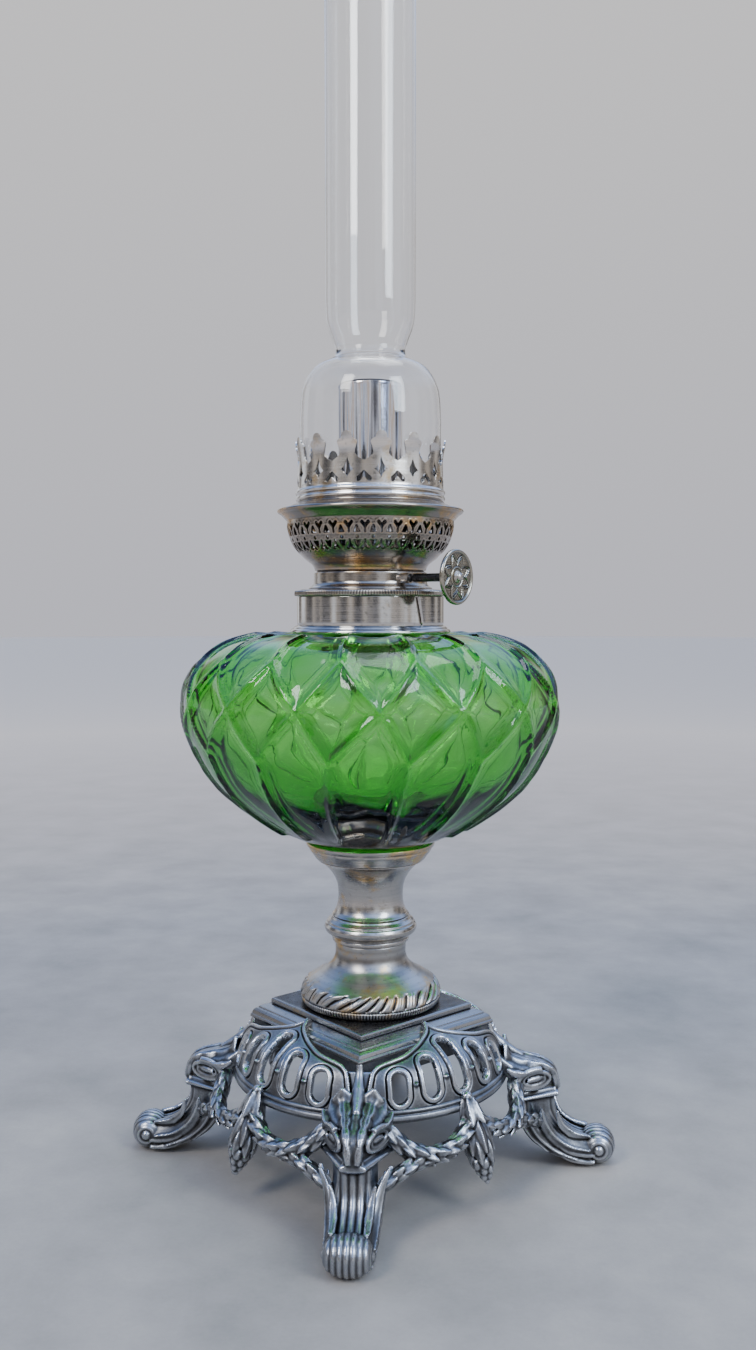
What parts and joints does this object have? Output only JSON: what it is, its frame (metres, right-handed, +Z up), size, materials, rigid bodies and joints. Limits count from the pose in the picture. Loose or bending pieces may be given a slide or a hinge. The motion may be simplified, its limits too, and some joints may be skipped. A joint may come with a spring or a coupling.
{
  "type": "oil lamp",
  "caption": "Kerosene table lamp: quilted green glass font on a turned stem and a pierced footed base, with a round-wick burner and a tall clear chimney.",
  "frame": {"origin": "on the ground under the middle of the four feet", "axes": "+Z up along the lamp's axis; the four legs stand along the X and Y axes; the wick knob points to +X and 33 degrees towards -Y"},
  "size_m": [0.1866, 0.1866, 0.51],
  "materials": {
    "antique_casting": "antique silvered casting with dark recesses, satin",
    "dark_plate": "dark satin",
    "stem_plating": "aged nickel plate, satin with warm patches",
    "steel_fixings": "plain",
    "plaster": "matte",
    "green_glass": "glossy, mould-blown with raised ribs",
    "collar_plating": "aged nickel plate, satin",
    "burner_plating": "aged nickel plate worn to brass, satin",
    "basket_plating": "aged nickel plate worn to brass, satin",
    "crown_plating": "aged nickel plate, satin",
    "bright_tube": "bright",
    "dark_steel": "dark satin",
    "knob_plating": "aged nickel plate, stamped relief",
    "cotton_wick": "woven cotton",
    "clear_glass": "clear, glossy"
  },
  "bodies": {
    "lamp_base": {"plinth": "antique_casting", "pierced_dome": "antique_casting", "plinth_plate": "dark_plate", "leg_front": "antique_casting", "leg_right": "antique_casting", "leg_rear": "antique_casting", "leg_left": "antique_casting", "garland_front_right": "antique_casting", "garland_rear_right": "antique_casting", "garland_rear_left": "antique_casting", "garland_front_left": "antique_casting", "stem_foot": "stem_plating", "stem_knop": "stem_plating", "stem_vase": "stem_plating", "font_cup": "stem_plating", "tie_rod": "steel_fixings", "base_washer": "steel_fixings", "base_nut": "steel_fixings", "cup_nut": "steel_fixings", "cup_plaster": "plaster", "font": "green_glass", "collar_plaster": "plaster", "font_collar": "collar_plating"},
    "burner": {"burner_screw": "burner_plating", "burner_drum": "burner_plating", "air_basket": "basket_plating", "gallery_rim": "burner_plating", "crown": "crown_plating", "air_plate": "burner_plating", "outer_wick_tube": "bright_tube", "inner_air_tube": "bright_tube", "shaft_gland": "burner_plating", "shaft_bearing": "burner_plating"},
    "wick_knob": {"wick_shaft": "dark_steel", "feed_wheel_1": "steel_fixings", "feed_wheel_2": "steel_fixings", "knob": "knob_plating", "knob_rivet": "knob_plating"},
    "wick": {"wick": "cotton_wick"},
    "chimney": {"chimney": "clear_glass"}
  },
  "joints": [
    {"name": "burner_lift", "type": "slide", "parent": "lamp_base", "child": "burner", "axis": [0, 0, 1], "range_m": [0, 0.04]},
    {"name": "chimney_lift", "type": "slide", "parent": "burner", "child": "chimney", "axis": [0, 0, 1], "range_m": [0, 0.06]},
    {"name": "wick_turn", "type": "hinge", "parent": "burner", "child": "wick_knob", "pos_m": [-0.00409, -0.00629, 0.221], "axis": [0.8387, -0.5446, 0], "range_deg": [-100, 150]},
    {"name": "wick_slide", "type": "slide", "parent": "burner", "child": "wick", "axis": [0, 0, 1], "range_m": [-0.0055, 0.008]}
  ],
  "couplings": [
    {"joint": "wick_slide", "follows": "wick_turn", "m_per_rad": 0.003}
  ]
}
